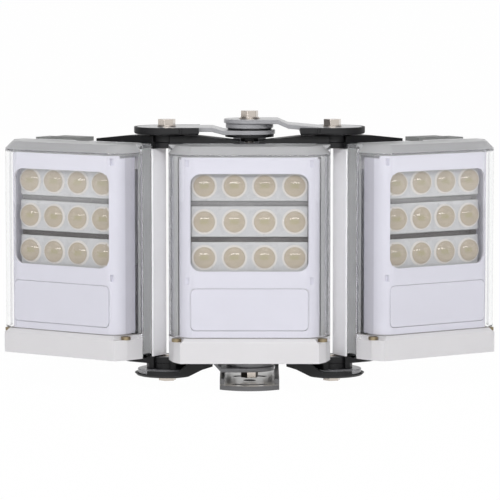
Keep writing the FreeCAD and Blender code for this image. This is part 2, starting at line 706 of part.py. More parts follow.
def bracket(name, label, side, style, lower, reach, spot):
    """Black hinge bracket on a panel's end.

    A wedge with a toe lies along the panel's end. A thick root fills the housing's notch round the
    hinge, and one ring of the knuckle grows from it. Style inner carries the ring next to the cap,
    and style outer the ring next to the panel, with a pocket for the hinge nut.
    """
    sign = "-" if side == "left" else ""
    hinge_x = sign + "hinge_offset"
    body = new_body(name + "Wedge")
    if lower:
        corner = [(sign + "(" + reach + ")", deck), (sign + "(" + reach + ")", deck + " - toe_rise"),
                  (sign + "bracket_knee", deck + " - bracket_rise"),
                  (hinge_x, deck + " - bracket_rise"), (hinge_x, deck)]
        if reach != "bracket_reach":
            corner = [(sign + "(" + reach + ")", deck), (sign + "(" + reach + ")", deck + " - 4.6"),
                      (sign + "(" + reach + " + 8)", deck + " - bracket_rise"),
                      (hinge_x, deck + " - bracket_rise"), (hinge_x, deck)]
    else:
        corner = [(sign + "(" + reach + ")", top), (sign + "(" + reach + ")", deck + " + bracket_toe"),
                  (sign + "bracket_knee", deck + " + bracket_top"),
                  (hinge_x, deck + " + bracket_top"), (hinge_x, top)]
    plan = polygon(body, "XZ_Plane", name + "Side", corner, "0 - bracket_rear")
    pad(body, plan, name + "Pad", "bracket_front + bracket_rear")
    ring = "ring_height"
    if lower:
        near = deck + " - 0.7 - ring_height"
        far = deck + " - 0.7 - ring_height * 2 - ring_play"
        root0 = far
        root_high = "ring_height * 2 + ring_play + 0.4"
    else:
        near = deck + " + bracket_top - ring_height * 2 - ring_play"
        far = deck + " + bracket_top - ring_height"
        root0 = near
        root_high = "ring_height * 2 + ring_play"
    root = rod(name + "Root", "lower_root" if lower else "notch_radius - 0.5", hinge_x, "0", root0, root_high)
    limit = "panel_width / 2 - 0.8"
    if side == "left":
        field = box(name + "Field", "0 - (%s)" % limit, "0", "0 - bracket_front", "bracket_rear",
                    root0 + " - 1", root0 + " + " + root_high + " + 8")
    else:
        field = box(name + "Field", "0", limit, "0 - bracket_front", "bracket_rear",
                    root0 + " - 1", root0 + " + " + root_high + " + 8")
    solid = common(name + "Trim", fuse(name + "Mass", body, root), field)
    mine = far if style == "inner" else near
    other = near if style == "inner" else far
    hole = "bolt_radius + bolt_play"
    clear = rod(name + "Clear", "knuckle_radius + knuckle_gap", hinge_x, "0", other + " - ring_play",
                "ring_height + ring_play * 2 + 0.2")
    knuckle = rod(name + "Knuckle", "knuckle_radius", hinge_x, "0", mine, ring)
    bore = rod(name + "Bore", hole, hinge_x, "0", root0 + " - 5", "ring_height * 2 + 20")
    cleared = cut(name + "Cleared", solid, clear)
    joined = fuse(name + "Joined", cleared, knuckle)
    tools = [bore]
    if style == "outer":
        pocket_z = near if not lower else near + " + ring_height - nut_height"
        tools.append(hexagon(name + "Pocket", "bolt_flats + 0.2", hinge_x, "0",
                             pocket_z + (" - 0.5" if not lower else ""), "nut_height + 0.5"))
    keep(cut(name, joined, *tools), label, spot)


hinge = value("hinge_offset")
swing = value("swing_angle")


def turned(side):
    """A side panel's place: turned back about its hinge."""
    sign = 1 if side == "left" else -1
    turn = FreeCAD.Rotation(vector(0, 0, 1), -sign * swing)
    about = FreeCAD.Placement(vector(-sign * hinge, 0, 0), turn)
    return about.multiply(FreeCAD.Placement(vector(-sign * hinge, 0, 0), FreeCAD.Rotation()))


spots = {"left": turned("left"), "centre": FreeCAD.Placement(), "right": turned("right")}
makers = (make_housing, make_cover, make_seal, make_fascia, make_plate, make_lenses, make_board,
          make_driver, make_band, make_band_screws, make_gland)
for prefix, spot in spots.items():
    for maker in makers:
        maker(prefix, spot)


# A panel's own hinge is on the side towards the middle.
for lower, word in ((False, "upper"), (True, "lower")):
    bracket(word + "LeftOuter", "left_%s_bracket" % word, "right", "outer", lower, "bracket_reach",
            spots["left"])
    bracket(word + "RightOuter", "right_%s_bracket" % word, "left", "outer", lower, "bracket_reach",
            spots["right"])
    inner_reach = "lower_reach" if lower else "bracket_reach"
    bracket(word + "LeftInner", "centre_%s_left_bracket" % word, "left", "inner", lower, inner_reach,
            spots["centre"])
    bracket(word + "RightInner", "centre_%s_right_bracket" % word, "right", "inner", lower, inner_reach,
            spots["centre"])


def arm(name, label, side, stations):
    """A flat steel link with joggles, round at both ends and bored for its two bolts.

    Stations are pairs of the distance from the pan axis and the level of the underside.
    """
    sign = "-" if side == "left" else ""
    reach = "arm_end_radius"
    ends = [("0 - arm_radius - 1", stations[0][1])] + list(stations) + [("hinge_offset + 27", stations[-1][1])]
    under = [("%s(%s)" % (sign, x), deck + " + (%s)" % z) for x, z in ends]
    over = [("%s(%s)" % (sign, x), deck + " + (%s) + arm_thick" % z) for x, z in reversed(ends)]
    body = new_body(name + "Strip")
    plan = polygon(body, "XZ_Plane", name + "Profile", under + over)
    pad(body, plan, name + "Pad", "arm_end_radius * 2", both=True)
    hinge_x = sign + "hinge_offset"
    tall = "panel_height + 60"
    low = "0 - 10"
    disc = rod(name + "Disc", "arm_radius", "0", "0", low, tall)
    end = rod(name + "End", reach, hinge_x, "0", low, tall)
    if side == "left":
        web = box(name + "Web", hinge_x, "0", "0 - arm_radius", "arm_radius", low, low + " + " + tall)
    else:
        web = box(name + "Web", "0", hinge_x, "0 - arm_radius", "arm_radius", low, low + " + " + tall)
    shape = common(name + "Blank", body, fuse(name + "Outline", disc, end, web))
    bore_a = rod(name + "PanBore", "bolt_radius + bolt_play", "0", "0", low, tall)
    bore_b = rod(name + "HingeBore", "bolt_radius + bolt_play", hinge_x, "0", low, tall)
    keep(cut(name, shape, bore_a, bore_b), label)


hinge_level = "cap_top - arm_thick"
low_hinge = "0 - 0.7 - ring_height * 2 - ring_play - 0.2 - arm_thick"
arm("UpperLeftArm", "upper_left_arm", "left",
    [("cap_inner - left_step - left_joggle", "left_arm_level"), ("cap_inner - left_step", hinge_level)])
arm("UpperRightArm", "upper_right_arm", "right",
    [("arm_radius + right_joggle", "right_arm_level"), ("cap_inner - right_step", hinge_level)])
arm("LowerLeftArm", "lower_left_arm", "left",
    [("low_start", "low_left_level"), ("(low_start + low_arm_toe) / 2 + 1", "low_right_level"),
     ("low_arm_toe", "low_right_level"), ("low_arm_heel", low_hinge)])
arm("LowerRightArm", "lower_right_arm", "right",
    [("low_start", "low_right_level"), ("low_arm_toe", "low_right_level"), ("low_arm_heel", low_hinge)])


def soften(name, solid, level, kind, size):
    """Round or chamfer the edges of a solid that lie at one level."""
    doc.recompute()
    height = value(level)
    edges = []
    for index, edge in enumerate(solid.Shape.Edges, start=1):
        bounds = edge.BoundBox
        if bounds.ZLength < 1e-6 and abs(bounds.ZMin - height) < 1e-6:
            edges.append((index, value(size), value(size)))
    item = doc.addObject(kind, name)
    item.Base = solid
    item.Edges = edges
    return item


def cap_blank(name, side, low, high, inner="cap_inner"):
    """A disc with a straight tail towards the middle."""
    sign = "-" if side == "left" else ""
    height = "(%s) - (%s)" % (high, low)
    disc = rod(name + "Disc", "cap_radius", sign + "hinge_offset", "0", low, height)
    x0, x1 = ("0 - hinge_offset", "0 - " + inner) if side == "left" else (inner, "hinge_offset")
    return fuse(name, disc, box(name + "Tail", x0, x1, "0 - cap_radius", "cap_radius", low, high))


def upper_cap(name, label, side):
    """Moulded pad on the upper knuckle, with a seat for the arm, ribbed sides and a hub below."""
    sign = "-" if side == "left" else ""
    hinge_x = sign + "hinge_offset"
    low = deck + " + cap_bottom"
    high = deck + " + cap_top"
    seat = deck + " + (%s)" % hinge_level
    inner = "cap_inner"
    solid = soften(name + "Soft", cap_blank(name + "Blank", side, low, high), low, "Part::Fillet", "cap_edge")
    hub = rod(name + "Hub", "cap_hub_radius", hinge_x, "0", deck + " + cap_hub_bottom",
              "cap_bottom - cap_hub_bottom + 0.5")
    x0, x1 = ("0 - hinge_offset", "0 - " + inner + " + 1") if side == "left" else (inner + " - 1", "hinge_offset")
    tools = [
        box(name + "Path", x0, x1, "0 - arm_radius - arm_play", "arm_radius + arm_play", seat, high + " + 1"),
        rod(name + "Seat", "arm_end_radius + arm_play", hinge_x, "0", seat, "arm_thick + 1"),
        rod(name + "Bore", "bolt_radius + bolt_play", hinge_x, "0", deck + " + cap_hub_bottom - 1", "30"),
    ]
    for shift in ("0", "rib_pitch"):
        middle = "%s(hinge_offset - rib_place + %s)" % (sign, shift)
        for y in ("0 - cap_radius - 1", "cap_radius - 0.6"):
            tools.append(box(name + "Rib", middle + " - 0.4", middle + " + 0.4", y, y + " + 1.6",
                             low + " + cap_edge", high + " + 1"))
    keep(cut(name, fuse(name + "Solid", solid, hub), *tools), label)


def lower_cap(name, label, side):
    """Boat-shaped pad under the lower arm: its floor and cheeks rise towards the middle with the arm."""
    sign = "-" if side == "left" else ""
    hinge_x = sign + "hinge_offset"
    low = deck + " - low_cap_drop"
    seat = deck + " + (%s)" % low_hinge
    span = deck + " + low_right_level"
    brim = deck + " - low_cap_brim"
    tall = cap_blank(name + "Blank", side, low, brim, "low_cap_tip")
    soft = soften(name + "Soft", tall, low, "Part::Chamfer", "cap_edge")
    far = "hinge_offset + cap_radius + 1"
    hull = new_body(name + "Hull")
    side_view = [("low_cap_tip - 1", span), ("low_arm_toe", span + " - low_cap_floor"),
                 ("low_arm_heel", seat + " - low_cap_floor"), ("low_cap_heel", low), (far, low),
                 (far, seat + " + arm_thick"), ("low_cap_heel - 2", seat + " + arm_thick"),
                 ("low_arm_heel - 3", brim), ("low_cap_tip - 1", brim)]
    plan = polygon(hull, "XZ_Plane", name + "HullPlan", [("%s(%s)" % (sign, x), z) for x, z in side_view])
    pad(hull, plan, name + "HullPad", "cap_radius * 2 + 4", both=True)
    channel = new_body(name + "Channel")
    start = "low_cap_tip - 11"
    floor = [(start, span), ("low_arm_toe", span), ("low_arm_heel", seat), (far, seat), (far, deck), (start, deck)]
    plan = polygon(channel, "XZ_Plane", name + "ChannelPlan", [("%s(%s)" % (sign, x), z) for x, z in floor])
    pad(channel, plan, name + "ChannelPad", "(arm_radius + arm_play) * 2", both=True)
    tools = [
        channel,
        rod(name + "Seat", "arm_end_radius + arm_play", hinge_x, "0", seat, "16"),
        rod(name + "Bore", "bolt_radius + bolt_play", hinge_x, "0", low + " - 1", "30"),
        rod(name + "Counterbore", "flange_radius + arm_play", hinge_x, "0", low + " - 1", "2.3"),
    ]
    keep(cut(name, common(name + "Shape", soft, hull), *tools), label)


for side in ("left", "right"):
    upper_cap("Upper%sCap" % side.title(), "upper_%s_cap" % side, side)
    lower_cap("Lower%sCap" % side.title(), "lower_%s_cap" % side, side)


def bolt(name, x, seat, end, upward):
    """A flanged hexagon bolt along Z: its seat is under the flange, its end is the shank's tip."""
    if upward:
        head_z = "(%s) - flange_height - head_height" % seat
        flange_z = "(%s) - flange_height" % seat
        shank_z = flange_z
        length = "(%s) - (%s)" % (end, shank_z)
    else:
        head_z = "(%s) + flange_height" % seat
        flange_z = seat
        shank_z = end
        length = "(%s) - (%s)" % (seat, end)
    head = hexagon(name + "Head", "bolt_flats", x, "0", head_z, "head_height", "bolt_angle")
    flange = rod(name + "Flange", "flange_radius", x, "0", flange_z, "flange_height")
    shank = rod(name + "Shank", "bolt_radius", x, "0", shank_z, length)
    return fuse(name, head, flange, shank)


def group(name, label, items, placement=None):
    item = doc.addObject("Part::Compound", name)
    item.Links = items
    keep(item, label, placement)


upper_tip = deck + " + bracket_top - ring_height * 2 - ring_play + 0.6"
lower_tip = deck + " - 1.4"
hinge_bolts = []
for sign in ("-", ""):
    x = sign + "hinge_offset"
    hinge_bolts.append(bolt("UpperHingeBolt", x, deck + " + cap_top", upper_tip, False))
    hinge_bolts.append(bolt("LowerHingeBolt", x, deck + " - low_cap_drop + 1.3", lower_tip, True))
group("HingeBolts", "hinge_bolts", hinge_bolts)

for side in ("left", "right"):
    x = ("" if side == "left" else "-") + "hinge_offset"
    pair = []
    for word, z in (("Upper", deck + " + bracket_top - ring_height * 2 - ring_play"),
                    ("Lower", deck + " - 0.7 - nut_height")):
        blank = hexagon("%s%sNut" % (word, side), "bolt_flats", x, "0", z, "nut_height")
        turned_nut = cut("%s%sNutBored" % (word, side), blank,
                         rod("NutBore", "bolt_radius + bolt_play", x, "0", z + " - 1", "nut_height + 2"))
        pair.append(turned_nut)
    group("%sHingeNuts" % side.title(), "%s_hinge_nuts" % side, pair, spots[side])

right_top = deck + " + right_arm_level + arm_thick"
disc_low = deck + " + left_arm_level - spacer_height"
low_seat = deck + " + low_left_level"
upper_bolt = bolt("UpperPanBolt", "0", right_top + " + pan_washer", disc_low + " - nut_height - 1", False)
lower_bolt = bolt("LowerPanBolt", "0", low_seat + " - pan_washer",
                  deck + " + low_right_level + arm_thick + nut_height + 1", True)
upper_washer = rod("UpperPanWasher", "flange_radius + 1", "0", "0", right_top, "pan_washer")
lower_washer = rod("LowerPanWasher", "flange_radius + 1", "0", "0", low_seat + " - pan_washer", "pan_washer")
group("PanBolts", "pan_bolts", [fuse("UpperPanSet", upper_bolt, upper_washer),
                                fuse("LowerPanSet", lower_bolt, lower_washer)])
pan_nuts = []
for word, z in (("Upper", disc_low + " - nut_height"), ("Lower", deck + " + low_right_level + arm_thick")):
    blank = hexagon(word + "PanNut", "bolt_flats", "0", "0", z, "nut_height")
    pan_nuts.append(cut(word + "PanNutBored", blank,
                        rod("PanNutBore", "bolt_radius + bolt_play", "0", "0", z + " - 1", "nut_height + 2")))
group("PanNuts", "pan_nuts", pan_nuts)

spacer = rod("SpacerDisc", "spacer_radius", "0", "0", disc_low, "spacer_height")
keep(cut("Spacer", spacer, rod("SpacerBore", "bolt_radius + bolt_play", "0", "0", disc_low + " - 1", "5")),
     "pan_spacer")
washer_low = deck + " + left_arm_level + arm_thick"
washer = rod("WasherDisc", "washer_radius", "0", "0", washer_low, "washer_gap - arm_gap")
keep(cut("Washer", washer, rod("WasherBore", "bolt_radius + bolt_play", "0", "0", washer_low + " - 1", "5")),
     "friction_washer")


def make_yoke():
    """C-shaped strap behind the middle panel, with two ears for the tilt pivot."""
    low = deck + " - yoke_drop"
    high = deck + " + yoke_top_level + yoke_thick"
    tall = "panel_height + 80"
    outer = new_body("YokeOuter")
    plan = rounded(outer, "YZ_Plane", "YokeOuterPlan", "0 - 80", "yoke_back", low, high,
                   "yoke_bend + yoke_thick", "yoke_bend + yoke_thick")
    pad(outer, plan, "YokeOuterPad", "yoke_width", both=True)
    inner = new_body("YokeInner")
    plan = rounded(inner, "YZ_Plane", "YokeInnerPlan", "0 - 90", "yoke_back - yoke_thick",
                   low + " + yoke_thick", high + " - yoke_thick", "yoke_bend", "yoke_bend")
    pad(inner, plan, "YokeInnerPad", "yoke_width + 2", both=True)
    half = "yoke_width / 2"
    waist = "yoke_waist / 2"
    field = box("YokeField", "0 - " + waist, waist, "0", "yoke_back + 1", "0", tall)
    root = box("YokeRoot", "0 - " + half, half, "yoke_back - yoke_thick - yoke_bend", "yoke_back + 1", "0",
               "pivot_z + ear_radius")
    nose = rod("YokeNose", half, "0", "0", "0", tall)
    strap = common("YokeStrap", cut("YokeLoop", outer, inner), fuse("YokePlan", field, root, nose))
    ears = []
    for x0 in ("0 - " + half, half + " - ear_thick"):
        ears.append(rod("YokeEar", "ear_radius", x0, "pivot_y", "pivot_z", "ear_thick", "X"))
        ears.append(box("YokeWeb", x0, x0 + " + ear_thick", "yoke_back - yoke_thick", "pivot_y",
                        "pivot_z - ear_radius", "pivot_z + ear_radius"))
    pan_bore = rod("YokeBore", "bolt_radius + bolt_play", "0", "0", "0", tall)
    tilt_bore = rod("YokeTiltBore", "bolt_radius + bolt_play", "0 - 30", "pivot_y", "pivot_z", "60", "X")
    keep(cut("Yoke", fuse("YokeSolid", strap, *ears), pan_bore, tilt_bore), "yoke")


def make_foot():
    """Folded foot: base with an arc front, a centre hole, two curved slots and two side walls."""
    half = "foot_width / 2"
    slab = box("FootSlab", "0 - " + half, half, "0 - foot_arc", "foot_rear", "0", "foot_thick")
    front_arc = rod("FootArc", "foot_arc", "0", "0", "0 - 1", "foot_thick + 2")
    rear_field = box("FootRear", "0 - foot_width", "foot_width", "0", "foot_rear + 1", "0 - 1",
                     "foot_thick + 1")
    base = common("FootBase", slab, fuse("FootPlan", front_arc, rear_field))
    walls = []
    for x0 in ("0 - (%s)" % half, half + " - foot_thick"):
        body = new_body("FootWall")
        corners = [("0 - 27", "0"), ("0 - 27", "foot_wall_low"), ("foot_wall_rise", "foot_wall_low + 2"),
                   ("pivot_y - ear_radius", "pivot_z + 2"), ("pivot_y", "pivot_z"), ("foot_rear", "pivot_z"),
                   ("foot_rear", "0")]
        plan = polygon(body, "YZ_Plane", "FootWallPlan", corners, x0)
        pad(body, plan, "FootWallPad", "foot_thick")
        walls.append(body)
        walls.append(rod("FootEar", "ear_radius", x0, "pivot_y", "pivot_z", "foot_thick", "X"))
    hole = rod("FootHole", "foot_hole", "0", "0", "0 - 1", "foot_thick + 2")
    tilt = rod("FootTilt", "bolt_radius + bolt_play", "0 - 30", "pivot_y", "pivot_z", "60", "X")
    slots = []
    for turn in (0, 180):
        ring = cut("FootRing", rod("FootRingOuter", "slot_circle + slot_half", "0", "0", "0 - 1", "foot_thick + 2"),
                   rod("FootRingInner", "slot_circle - slot_half", "0", "0", "0 - 2", "foot_thick + 4"))
        wedge = rod("FootWedge", "foot_arc", "0", "0", "0 - 1", "foot_thick + 2")
        wedge.setExpression("Angle", bind("slot_angle"))
        wedge.Placement.Rotation = FreeCAD.Rotation(vector(0, 0, 1), turn + 90 - value("slot_angle") / 2)
        slots.append(common("FootSlot", ring, wedge))
    keep(cut("Foot", fuse("FootSolid", base, *walls), hole, tilt, *slots), "foot")


def make_tilt_hardware():
    """Two short bolts through the foot's walls and the yoke's ears, each with a nut inside."""
    half = "foot_width / 2"
    bolts = []
    nuts = []
    for sign in (-1, 1):
        if sign > 0:
            head_x = half + " + flange_height"
            flange_x = half
            shank_x = "yoke_width / 2 - ear_thick - nut_height - 1"
            nut_x = "yoke_width / 2 - ear_thick - nut_height"
        else:
            head_x = "0 - (%s) - flange_height - head_height" % half
            flange_x = "0 - (%s) - flange_height" % half
            shank_x = "0 - (%s)" % half
            nut_x = "0 - yoke_width / 2 + ear_thick"
        length = "foot_width / 2 - yoke_width / 2 + ear_thick + nut_height + 1"
        head = doc.addObject("Part::Prism", "TiltHead")
        head.Polygon = 6
        head.Placement = FreeCAD.Placement(vector(), turns["X"])
        head.setExpression("Circumradius", bind("bolt_flats / sqrt(3)"))
        head.setExpression("Height", bind("head_height"))
        place(head, head_x, "pivot_y", "pivot_z")
        flange = rod("TiltFlange", "flange_radius", flange_x, "pivot_y", "pivot_z", "flange_height", "X")
        shank = rod("TiltShank", "bolt_radius", shank_x, "pivot_y", "pivot_z", length, "X")
        bolts.append(fuse("TiltBolt", head, flange, shank))
        nut = doc.addObject("Part::Prism", "TiltNut")
        nut.Polygon = 6
        nut.Placement = FreeCAD.Placement(vector(), turns["X"])
        nut.setExpression("Circumradius", bind("bolt_flats / sqrt(3)"))
        nut.setExpression("Height", bind("nut_height"))
        place(nut, nut_x, "pivot_y", "pivot_z")
        nuts.append(cut("TiltNutBored", nut,
                        rod("TiltNutBore", "bolt_radius + bolt_play", nut_x + " - 1", "pivot_y", "pivot_z",
                            "nut_height + 2", "X")))
    group("TiltBolts", "tilt_bolts", bolts)
    group("TiltNuts", "tilt_nuts", nuts)


make_yoke()
make_foot()
make_tilt_hardware()
doc.recompute()

faults = []
for item in doc.Objects:
    if "Invalid" in item.State or "Error" in item.State:
        faults.append(item.Name)
for item in nodes:
    if item.Shape.isNull() or not item.Shape.isValid():
        faults.append(item.Label)
if faults:
    raise RuntimeError("Failed objects: " + ", ".join(faults))

for item in nodes:
    item.Shape.exportStep("parts/%s.step" % item.Label)
print(len(nodes), "sub-parts written")
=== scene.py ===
import json
import math

import bmesh
import bpy
import numpy as np
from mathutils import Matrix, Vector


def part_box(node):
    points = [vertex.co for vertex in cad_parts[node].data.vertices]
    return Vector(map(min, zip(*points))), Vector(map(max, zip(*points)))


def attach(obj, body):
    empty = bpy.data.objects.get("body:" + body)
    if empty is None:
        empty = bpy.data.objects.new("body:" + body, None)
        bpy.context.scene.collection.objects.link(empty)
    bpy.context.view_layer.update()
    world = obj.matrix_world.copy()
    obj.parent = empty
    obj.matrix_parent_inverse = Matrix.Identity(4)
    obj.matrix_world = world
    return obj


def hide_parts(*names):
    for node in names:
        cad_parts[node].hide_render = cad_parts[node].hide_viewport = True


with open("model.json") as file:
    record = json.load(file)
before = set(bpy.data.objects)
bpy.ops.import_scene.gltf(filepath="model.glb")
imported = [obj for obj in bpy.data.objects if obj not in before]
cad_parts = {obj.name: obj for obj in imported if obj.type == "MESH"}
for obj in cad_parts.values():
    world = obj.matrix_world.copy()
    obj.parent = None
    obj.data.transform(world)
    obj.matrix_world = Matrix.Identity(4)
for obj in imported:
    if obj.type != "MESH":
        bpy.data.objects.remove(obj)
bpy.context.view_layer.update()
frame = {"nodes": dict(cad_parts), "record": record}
print("frame loaded:", len(frame["nodes"]), "nodes")

panelBodies = {"left": "left_panel", "centre": "head", "right": "right_panel"}
frameBody = {node: body for body, nodes in frame["record"]["behaviour"]["bodies"].items() for node in nodes}


# Materials: every finish starts from one principled shader and adds its own texture nodes.

def newMaterial(name, colour, roughness, metallic=0.0, specular=0.5, coat=0.0, coatRoughness=0.1):
    material = bpy.data.materials.new(name)
    material.use_nodes = True
    shader = material.node_tree.nodes["Principled BSDF"]
    shader.inputs["Base Color"].default_value = (*colour, 1.0)
    shader.inputs["Roughness"].default_value = roughness
    shader.inputs["Metallic"].default_value = metallic
    shader.inputs["Specular IOR Level"].default_value = specular
    shader.inputs["Coat Weight"].default_value = coat
    shader.inputs["Coat Roughness"].default_value = coatRoughness
    return material


def addNode(material, kind, inputs=None, **settings):
    node = material.node_tree.nodes.new(kind)
    for key, value in settings.items():
        setattr(node, key, value)
    for key, value in (inputs or {}).items():
        if isinstance(value, bpy.types.NodeSocket):
            material.node_tree.links.new(value, node.inputs[key])
        else:
            node.inputs[key].default_value = value
    return node


def shaderOf(material):
    return material.node_tree.nodes["Principled BSDF"]


def plug(material, socket, name):
    material.node_tree.links.new(socket, shaderOf(material).inputs[name])


def calculate(material, operation, first, second):
    return addNode(material, "ShaderNodeMath", {0: first, 1: second}, operation=operation).outputs[0]


def objectCoords(material, scale=(1.0, 1.0, 1.0)):
    place = addNode(material, "ShaderNodeTexCoord").outputs["Object"]
    return addNode(material, "ShaderNodeMapping", {"Vector": place, "Scale": scale}).outputs["Vector"]


# nearly all values of a noise texture lie between "low" and "high"
texture = {
    "low": 0.3, "high": 0.7, "roughness": 0.55, "cloudScale": 40.0, "cloudDetail": 4.0, "spread": 0.04,
    "glossScale": 120.0, "dull": 0.85, "bright": 1.15, "grainDetail": 2.0, "grainDepth": 0.00006,
}


def noise(material, vector, scale, detail=3.0):
    inputs = {"Vector": vector, "Scale": scale, "Detail": detail, "Roughness": texture["roughness"]}
    return addNode(material, "ShaderNodeTexNoise", inputs).outputs["Fac"]


def ramp(material, factor, stops):
    # A new ramp is linear and has two elements, so it takes two stops.
    node = addNode(material, "ShaderNodeValToRGB", {"Fac": factor})
    for element, (position, colour) in zip(node.color_ramp.elements, stops):
        element.position = position
        element.color = (*colour, 1.0)
    return node.outputs["Color"]


def remap(material, factor, low, high, start=texture["low"], end=texture["high"]):
    return addNode(material, "ShaderNodeMapRange", {"Value": factor, "From Min": start, "From Max": end,
                                                    "To Min": low, "To Max": high}).outputs["Result"]


def bump(material, height, strength, distance):
    inputs = {"Height": height, "Strength": strength, "Distance": distance}
    plug(material, addNode(material, "ShaderNodeBump", inputs).outputs["Normal"], "Normal")


def shade(colour, factor):
    return tuple(min(1.0, channel * factor) for channel in colour)


def twoShades(material, factor, colour, darkest, palest):
    # The colour drifts between two shades of itself as the noise goes through its range.
    return ramp(material, factor, [(texture["low"], shade(colour, darkest)),
                                   (texture["high"], shade(colour, palest))])


def around(middle, spread):
    return middle - spread, middle + spread


def mixColours(material, factor, first, second):
    # A mix node has its two colours at inputs 6 and 7, and the mixed colour at output 2.
    return addNode(material, "ShaderNodeMix", {0: factor, 6: first, 7: (*second, 1.0)},
                   data_type="RGBA").outputs[2]


def blendSurface(material, factor, other):
    # The surface shows the principled shader at factor 0 and the other shader at factor 1.
    blend = addNode(material, "ShaderNodeMixShader",
                    {0: factor, 1: shaderOf(material).outputs[0], 2: other.outputs[0]})
    surface = material.node_tree.nodes["Material Output"].inputs["Surface"]
    material.node_tree.links.new(blend.outputs[0], surface)


def speckled(name, finish):
    # A base colour with faint cloudy variation, a fine surface grain and uneven gloss.
    colour, roughness = finish["colour"], finish["roughness"]
    material = newMaterial(name, colour, roughness, finish.get("metallic", 0.0),
                           finish.get("specular", 0.5), finish.get("coat", 0.0),
                           finish.get("coatRoughness", 0.1))
    vector = objectCoords(material, finish.get("stretch", (1.0, 1.0, 1.0)))
    cloud = noise(material, vector, texture["cloudScale"], texture["cloudDetail"])
    darkest, palest = around(1.0, finish.get("spread", texture["spread"]))
    plug(material, twoShades(material, cloud, colour, darkest, palest), "Base Color")
    gloss = remap(material, noise(material, vector, texture["glossScale"]),
                  roughness * texture["dull"], roughness * texture["bright"])
    plug(material, gloss, "Roughness")
    grain = noise(material, vector, finish["grainScale"], texture["grainDetail"])
    bump(material, grain, finish["grain"], texture["grainDepth"])
    return material


finishes = {
    "powderWhite": {"colour": (0.955, 0.95, 0.97), "roughness": 0.42, "grainScale": 900.0, "grain": 0.25,
                    "spread": 0.015},
    "mouldedWhite": {"colour": (0.71, 0.70, 0.775), "roughness": 0.40, "grainScale": 1600.0, "grain": 0.06,
                     "spread": 0.012},
    "bandWhite": {"colour": (0.66, 0.65, 0.665), "roughness": 0.36, "grainScale": 1500.0, "grain": 0.10,
                  "spread": 0.012},
    "padGrey": {"colour": (0.20, 0.205, 0.20), "roughness": 0.5, "grainScale": 1000.0, "grain": 0.2},
    "sealGrey": {"colour": (0.42, 0.425, 0.42), "roughness": 0.65, "grainScale": 1200.0, "grain": 0.2},
    "blackNylon": {"colour": (0.008, 0.008, 0.009), "roughness": 0.46, "grainScale": 1300.0, "grain": 0.35,
                   "specular": 0.32},
    "blackCoat": {"colour": (0.007, 0.007, 0.008), "roughness": 0.42, "grainScale": 1000.0, "grain": 0.3,
                  "specular": 0.32},
    "armGrey": {"colour": (0.31, 0.31, 0.325), "roughness": 0.30, "grainScale": 900.0, "grain": 0.08,
                "specular": 0.5, "coat": 0.25},
    "footGrey": {"colour": (0.085, 0.085, 0.089), "roughness": 0.36, "grainScale": 700.0, "grain": 0.0,
                 "specular": 0.8, "coat": 0.55, "coatRoughness": 0.30},
    # the next finish is a painted reflection: a pale floor between the foot's walls
    "footPaintedReflection": {"colour": (0.62, 0.58, 0.52), "roughness": 0.36, "grainScale": 700.0, "grain": 0.0,
                  "specular": 0.6, "coat": 0.6, "coatRoughness": 0.20},
    "stainless": {"colour": (0.59, 0.535, 0.485), "roughness": 0.15, "metallic": 1.0, "grainScale": 600.0,
                  "grain": 0.08, "stretch": (1.0, 1.0, 8.0)},
    "brass": {"colour": (0.33, 0.27, 0.17), "roughness": 0.42, "metallic": 1.0, "grainScale": 700.0,
              "grain": 0.1},
    "boardGreen": {"colour": (0.06, 0.09, 0.07), "roughness": 0.45, "grainScale": 500.0, "grain": 0.1},
    "stripGrey": {"colour": (0.56, 0.56, 0.565), "roughness": 0.28, "grainScale": 500.0, "grain": 0.06,
                  "spread": 0.02, "coat": 0.3},
}
materials = {name: speckled(name, finish) for name, finish in finishes.items()}

boardSettings = {
    "split": 0.1575, "soft": 0.006, "upper": (0.42, 0.42, 0.425), "lower": (0.06, 0.05, 0.047),
    "roughness": 0.45, "grainScale": 600.0, "grain": 0.1, "grainDepth": 0.00005,
}


def boardMaterial():
    # A lacquered board, pale above a set height and dark brown below it: pale behind the upper rows of
    # lenses and brown behind the lower ones.
    material = newMaterial("boardLacquer", boardSettings["upper"], boardSettings["roughness"])
    place = addNode(material, "ShaderNodeTexCoord").outputs["Object"]
    split = addNode(material, "ShaderNodeSeparateXYZ", {"Vector": place})
    start, end = around(boardSettings["split"], boardSettings["soft"])
    part = remap(material, split.outputs["Z"], 0.0, 1.0, start, end)
    colour = ramp(material, part, [(0.0, boardSettings["lower"]), (1.0, boardSettings["upper"])])
    plug(material, colour, "Base Color")
    grain = noise(material, place, boardSettings["grainScale"])
    bump(material, grain, boardSettings["grain"], boardSettings["grainDepth"])
    return material


# lengths on the disc that a lens magnifies are shares of its radius
lensSettings = {
    "disc": (0.49, 0.415, 0.31), "centre": (0.43, 0.375, 0.22), "ring": (0.74, 0.71, 0.67),
    "roughness": 0.35, "specular": 0.3, "edge": 0.72, "edgeSoft": 0.035, "patchWide": 0.30,
    "patchTall": 0.16, "patchSoft": 0.1, "stretch": (1.0, 1.0, 3.0), "grainScale": 180.0, "darkest": 0.93,
    # the line colour is painted shade: a dark ring where the dome meets its rim
    "palest": 1.06, "line": (0.30, 0.23, 0.14), "shadeLineWidth": 0.06, "shadeLineStrength": 0.75,
}


